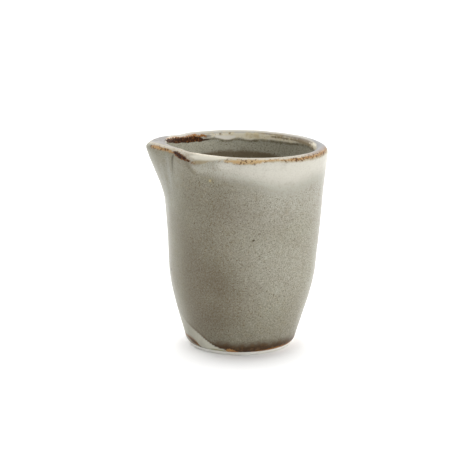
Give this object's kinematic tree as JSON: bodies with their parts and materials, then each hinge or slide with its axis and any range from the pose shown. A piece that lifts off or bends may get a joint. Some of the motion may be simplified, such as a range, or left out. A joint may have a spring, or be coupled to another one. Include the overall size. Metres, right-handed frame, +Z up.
{
  "type": "pouring jug",
  "caption": "Small handleless pouring jug of glazed stoneware, with a pulled and pinched spout, a rounded rim and a bare foot ring.",
  "frame": {"origin": "on the surface the jug stands on, midway between the spout's tip and the back of the rim", "axes": "+Z up, -X towards the spout, +Y across"},
  "size_m": [0.0698, 0.0662, 0.0799],
  "materials": {
    "fired_clay": "bare fired clay, pale buff, fine grain",
    "glaze": "semi-gloss grey-green reactive glaze, breaking cream and ochre at the rim"
  },
  "bodies": {
    "root": {"clay_body": "fired_clay", "glaze_coat": "glaze", "base_glaze": "glaze"}
  },
  "joints": []
}
